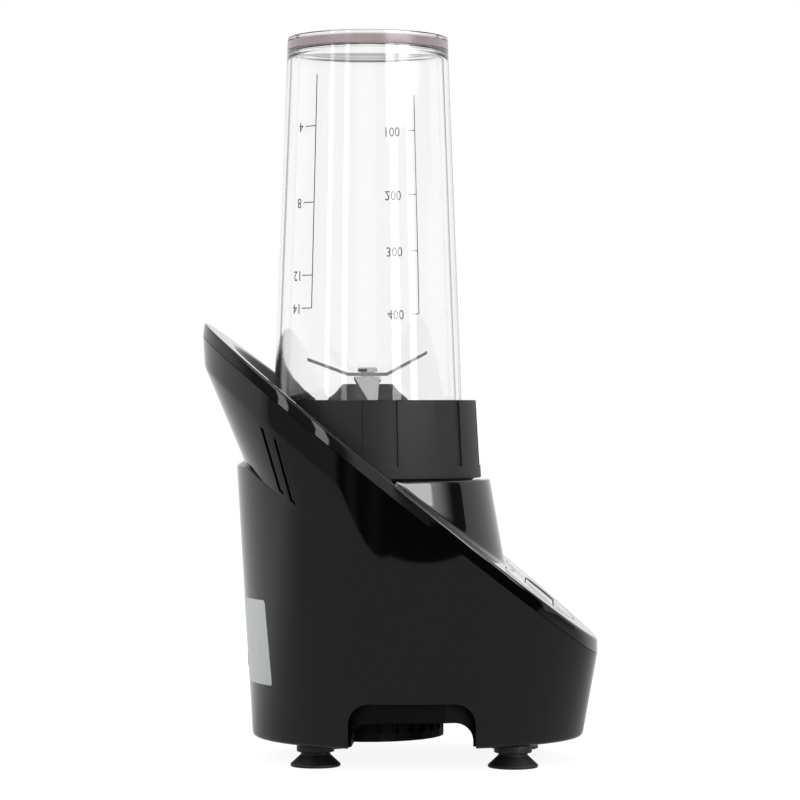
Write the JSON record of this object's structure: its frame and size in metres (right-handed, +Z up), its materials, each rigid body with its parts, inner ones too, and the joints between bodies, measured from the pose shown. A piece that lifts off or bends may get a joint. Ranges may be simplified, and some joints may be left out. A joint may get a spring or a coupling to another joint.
{
  "type": "countertop blender",
  "caption": "Single-serve blender: a clear tapered cup stands upside down in a screw collar on a gloss black oval base with a sloping deck and a wide push button.",
  "frame": {"origin": "middle of the footprint, on the table", "axes": "+Z up, +X to the front, where the button is"},
  "size_m": [0.1709, 0.1314, 0.3116],
  "materials": {
    "gloss_black": "gloss",
    "satin_black": "satin",
    "rubber_black": "matte",
    "steel": "polished",
    "cast_metal": "as cast",
    "laminations": "satin",
    "copper": "satin",
    "brass": "satin",
    "carbon": "matte",
    "nylon": "satin",
    "circuit_board": "satin",
    "capacitor_blue": "gloss",
    "silicone": "satin",
    "clear_plastic": "clear",
    "ring_tint": "translucent"
  },
  "bodies": {
    "base": {"main_housing": "gloss_black", "top_cover": "gloss_black", "control_panel": "gloss_black", "bottom_cover": "satin_black", "foot_rear_left": "rubber_black", "foot_rear_right": "rubber_black", "foot_front_left": "rubber_black", "foot_front_right": "rubber_black", "cover_screw_1": "steel", "cover_screw_2": "steel", "cover_screw_3": "steel", "cover_screw_4": "steel", "cord_inlet": "rubber_black", "control_board": "circuit_board", "filter_capacitor": "capacitor_blue", "motor_damper_1": "rubber_black", "motor_damper_2": "rubber_black", "motor_damper_3": "rubber_black", "motor_damper_4": "rubber_black", "motor_screw_1": "steel", "motor_screw_2": "steel", "motor_screw_3": "steel", "motor_screw_4": "steel", "lower_motor_bracket": "cast_metal", "upper_motor_bracket": "cast_metal", "lower_bearing": "steel", "upper_bearing": "steel", "stator_core": "laminations", "field_coil_front": "copper", "field_coil_rear": "copper", "motor_bolt_1": "steel", "motor_bolt_2": "steel", "brush_holder_left": "brass", "brush_holder_right": "brass", "carbon_brush_left": "carbon", "carbon_brush_right": "carbon", "micro_switch": "satin_black", "switch_bracket": "steel", "button_spring": "steel"},
    "button": {"power_button": "gloss_black"},
    "plunger": {"switch_plunger": "nylon"},
    "rotor": {"motor_shaft": "steel", "armature_core": "laminations", "armature_winding_lower": "copper", "armature_winding_upper": "copper", "commutator": "copper", "cooling_fan": "satin_black", "drive_coupling": "nylon"},
    "blade_unit": {"blade_collar": "satin_black", "sealing_gasket": "silicone", "bearing_bush": "brass", "shaft_seal": "silicone"},
    "spindle": {"blade_shaft": "steel", "upper_blade": "steel", "lower_blade": "steel", "blade_nut": "steel", "driven_coupling": "nylon"},
    "foot_ring": {"cup_foot_ring": "ring_tint"},
    "cup": {"cup_tumbler": "clear_plastic"}
  },
  "joints": [
    {"name": "unit_lift", "type": "slide", "parent": "base", "child": "blade_unit", "axis": [0, 0, 1], "range_m": [0, 0.08]},
    {"name": "cup_rise", "type": "slide", "parent": "blade_unit", "child": "foot_ring", "axis": [0, 0, 1], "range_m": [0, 0.0051]},
    {"name": "cup_unscrew", "type": "hinge", "parent": "foot_ring", "child": "cup", "pos_m": [-0.014, 0, 0.14], "axis": [0, 0, 1], "range_deg": [0, 450]},
    {"name": "motor_spin", "type": "hinge", "parent": "base", "child": "rotor", "pos_m": [-0.014, 0, 0.069], "axis": [0, 0, 1], "continuous": true},
    {"name": "blade_spin", "type": "hinge", "parent": "blade_unit", "child": "spindle", "pos_m": [-0.014, 0, 0.145], "axis": [0, 0, 1], "continuous": true},
    {"name": "button_press", "type": "slide", "parent": "base", "child": "button", "axis": [-0.6266, 0, -0.7793], "range_m": [0, 0.0016], "stiffness_N_per_m": 300, "springref_m": -0.003, "deforming": ["button_spring"]},
    {"name": "plunger_press", "type": "slide", "parent": "base", "child": "plunger", "axis": [-0.6266, 0, -0.7793], "range_m": [0, 0.0017]}
  ],
  "couplings": [
    {"joint": "cup_rise", "follows": "cup_unscrew", "m_per_rad": 0.00063662},
    {"joint": "blade_spin", "follows": "motor_spin", "ratio": 1},
    {"joint": "plunger_press", "follows": "button_press", "ratio": 1}
  ]
}
